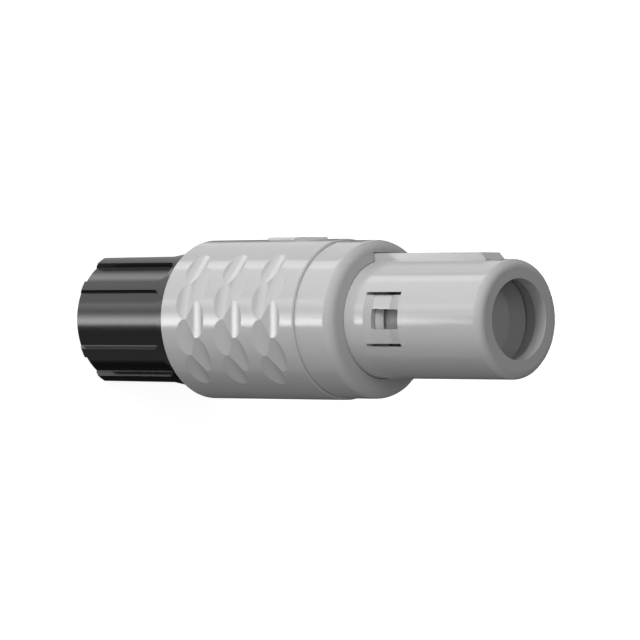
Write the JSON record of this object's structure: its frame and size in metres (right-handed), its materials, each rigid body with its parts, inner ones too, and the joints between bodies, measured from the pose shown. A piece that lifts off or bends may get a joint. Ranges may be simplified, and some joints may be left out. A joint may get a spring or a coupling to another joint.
{
  "type": "connector plug",
  "caption": "Straight push-pull circular connector plug with a keyed nose, latch windows, a scalloped pull-back grip on a spring and a fluted cable clamp nut.",
  "frame": {"origin": "centre of the cable entry in the rear face of the back nut, on which the plug stands", "axes": "+Z along the plug to the nose and mouth, +X to the key, +Y and -Y to the two latches"},
  "size_m": [0.014, 0.0138, 0.0467],
  "materials": {
    "grey_plastic": "moulded, fine satin",
    "black_plastic": "moulded, satin",
    "collet_plastic": "moulded, dull",
    "insulator_plastic": "moulded, dull",
    "contact_metal": "gold plated",
    "steel": "stainless, drawn or stamped"
  },
  "bodies": {
    "shell": {"nose_shell": "grey_plastic", "rear_body": "black_plastic", "insulator": "insulator_plastic", "rear_insulator": "insulator_plastic", "carrier_half_upper": "collet_plastic", "carrier_half_lower": "collet_plastic", "thrust_washer": "steel", "contact_1": "contact_metal", "contact_2": "contact_metal", "contact_3": "contact_metal", "contact_4": "contact_metal", "contact_5": "contact_metal", "return_spring": "steel"},
    "grip": {"grip_sleeve": "grey_plastic", "grip_front_ring": "grey_plastic", "retaining_ring": "steel", "lock_sleeve": "grey_plastic", "link_pin_1": "steel", "link_pin_2": "steel"},
    "clamp": {"collet": "collet_plastic"},
    "nut": {"back_nut": "black_plastic"}
  },
  "joints": [
    {"name": "grip_slide", "type": "slide", "parent": "shell", "child": "grip", "axis": [0, 0, -1], "range_m": [0, 0.0015], "stiffness_N_per_m": 88, "springref_m": -0.01, "deforming": ["return_spring"]},
    {"name": "collet_slide", "type": "slide", "parent": "shell", "child": "clamp", "axis": [0, 0, -1], "range_m": [0, 0.0045]},
    {"name": "nut_turn", "type": "hinge", "parent": "clamp", "child": "nut", "pos_m": [0, 0, 0], "axis": [0, 0, -1], "range_deg": [0, 2160]}
  ],
  "couplings": [
    {"joint": "nut_turn", "follows": "collet_slide", "rad_per_m": 8377.5}
  ]
}
